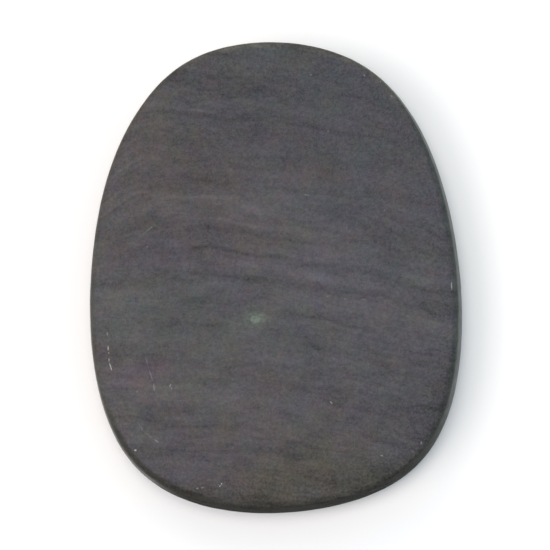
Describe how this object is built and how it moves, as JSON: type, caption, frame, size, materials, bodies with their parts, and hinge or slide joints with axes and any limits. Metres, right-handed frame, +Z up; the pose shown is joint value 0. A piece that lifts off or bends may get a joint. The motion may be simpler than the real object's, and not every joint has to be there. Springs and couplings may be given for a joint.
{
  "type": "basalt massage stone",
  "caption": "Flat egg-shaped belly stone of dark honed basalt with softly rolled edges and a small pale green mineral grain in its upper face, for hot-stone massage.",
  "frame": {"origin": "on the ground under the centre of the stone's bounding box, as it lies on its lower face", "axes": "+Y along the long way, towards the narrow end; +Z up, out of the upper honed face; +X to the right seen from above"},
  "size_m": [0.118, 0.15, 0.022],
  "materials": {
    "basalt": "satin",
    "green_mineral": "satin"
  },
  "bodies": {
    "root": {"stone_body": "basalt", "green_inclusion": "green_mineral"}
  },
  "joints": []
}
